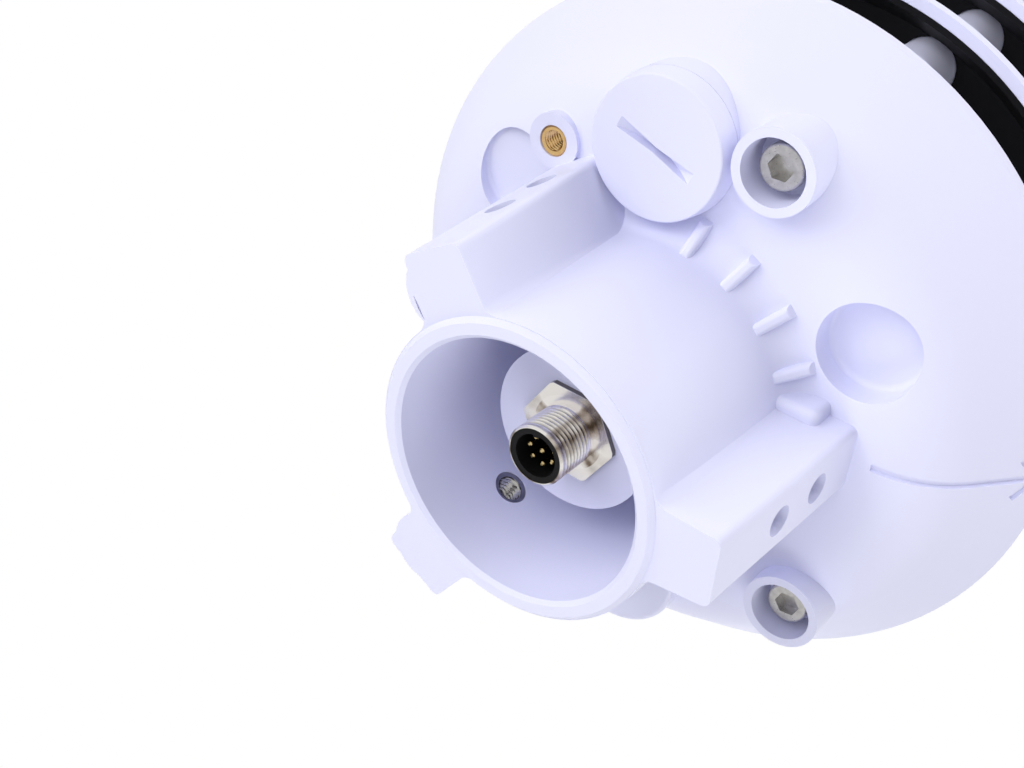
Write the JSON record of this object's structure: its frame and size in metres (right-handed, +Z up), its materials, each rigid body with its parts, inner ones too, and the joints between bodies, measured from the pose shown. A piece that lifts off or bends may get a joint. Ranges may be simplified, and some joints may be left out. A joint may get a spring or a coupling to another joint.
{
  "type": "compact weather station",
  "caption": "Compact weather station with a pole socket and round cable connector under a bowl base, louvred radiation shield and ultrasonic wind head.",
  "frame": {"origin": "middle of the mouth of the pole tube, where the part stands", "axes": "+Z up along the pole, +Y to the north mark"},
  "size_m": [0.1474, 0.1474, 0.241],
  "materials": {
    "white_plastic": "satin, lightly textured, weatherproof",
    "black_plastic": "matt",
    "rubber": "matt",
    "stainless": "bright turned",
    "nickel": "nickel plated",
    "brass": "turned",
    "gold_contact": "gold plated",
    "circuit_board": "solder mask",
    "filter": "sintered",
    "transducer_face": "matt"
  },
  "bodies": {
    "station": {"base_moulding": "white_plastic", "base_cover": "white_plastic", "wind_floor": "white_plastic", "wind_housing": "white_plastic", "top_cap": "white_plastic", "pole_inserts": "stainless", "accessory_insert": "brass", "connector_shell": "nickel", "connector_gasket": "rubber", "connector_carrier": "black_plastic", "connector_pins": "gold_contact", "connector_nut": "nickel", "main_board": "circuit_board", "board_screws": "stainless", "cover_seal": "rubber", "probe_body": "black_plastic", "probe_filter": "filter", "tie_inserts": "brass", "tie_screws": "stainless", "wind_board": "circuit_board", "wind_board_screws": "stainless", "cap_screws": "stainless", "louvre_plate_1": "white_plastic", "louvre_liner_1": "black_plastic", "louvre_plate_2": "white_plastic", "louvre_liner_2": "black_plastic", "louvre_plate_3": "white_plastic", "louvre_liner_3": "black_plastic", "transducer_1": "transducer_face", "transducer_seal_1": "rubber", "transducer_2": "transducer_face", "transducer_seal_2": "rubber", "transducer_3": "transducer_face", "transducer_seal_3": "rubber", "transducer_4": "transducer_face", "transducer_seal_4": "rubber"},
    "seal": {"plug_seal": "rubber"},
    "plug": {"blanking_plug": "white_plastic"}
  },
  "joints": [
    {"name": "plug_lift", "type": "slide", "parent": "station", "child": "seal", "axis": [0, 0, -1], "range_m": [0, 0.0075]},
    {"name": "plug_turn", "type": "hinge", "parent": "seal", "child": "plug", "pos_m": [0.04747, -0.00349, 0.0469], "axis": [0, 0, -1], "range_deg": [0, 1801]}
  ],
  "couplings": [
    {"joint": "plug_turn", "follows": "plug_lift", "rad_per_m": 4188.8}
  ]
}
